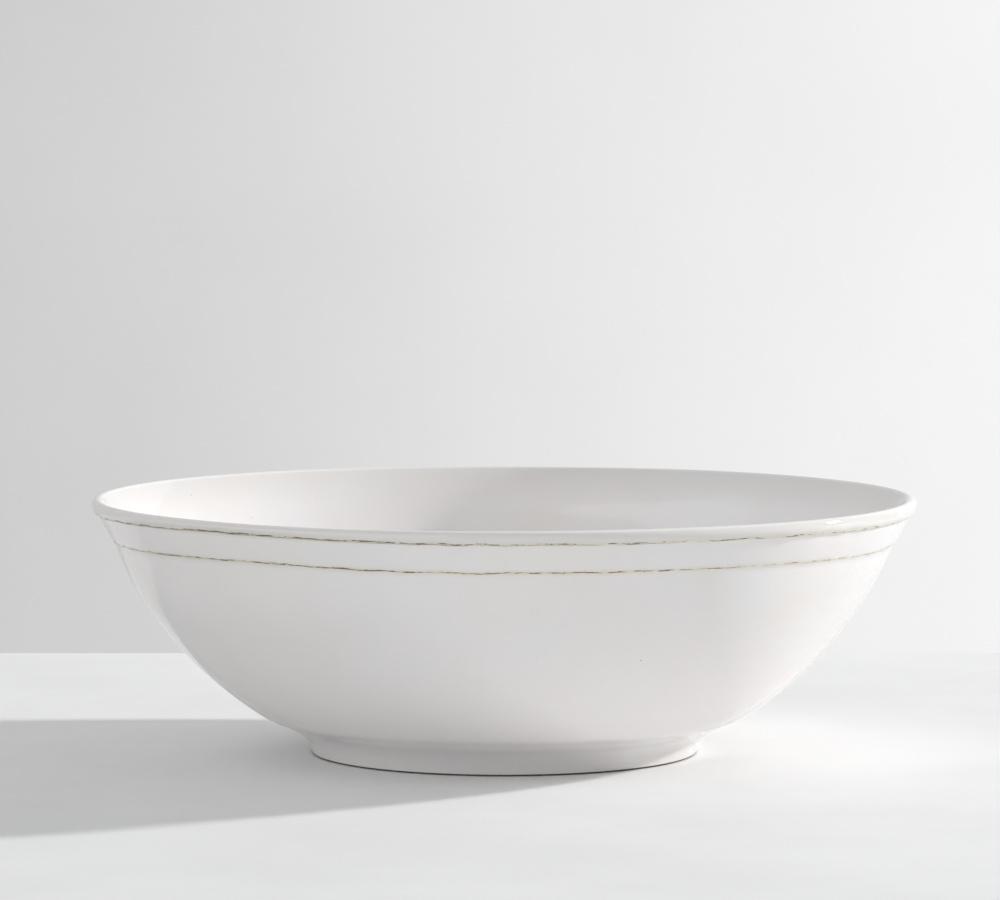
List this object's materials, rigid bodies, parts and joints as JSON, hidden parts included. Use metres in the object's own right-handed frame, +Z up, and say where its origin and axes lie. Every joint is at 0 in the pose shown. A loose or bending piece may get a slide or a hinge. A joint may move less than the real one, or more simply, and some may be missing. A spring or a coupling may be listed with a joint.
{
  "type": "serving bowl",
  "caption": "Wide, low serving bowl in glossy white glaze, on a foot ring, with a rolled lip and a raised band under it, both edged in worn brown.",
  "frame": {"origin": "centre of the foot ring's base, on the table", "axes": "+Z up along the axis the bowl is turned about"},
  "size_m": [0.34, 0.34, 0.106],
  "materials": {
    "fired_clay": "bare fired clay, matt and fine-grained, buff",
    "white_glaze": "glossy warm white glaze over the whole bowl but the foot's edge",
    "oxide_wash": "brown oxide where the glaze breaks over an edge, glossy, ragged and worn"
  },
  "bodies": {
    "root": {"bowl_wall": "fired_clay", "foot_ring": "fired_clay", "rim_band": "fired_clay", "rolled_lip": "fired_clay", "main_glaze": "white_glaze", "band_glaze": "white_glaze", "outer_glaze": "white_glaze", "foot_well_glaze": "white_glaze", "upper_line_wash": "oxide_wash", "lower_line_wash": "oxide_wash"}
  },
  "joints": []
}
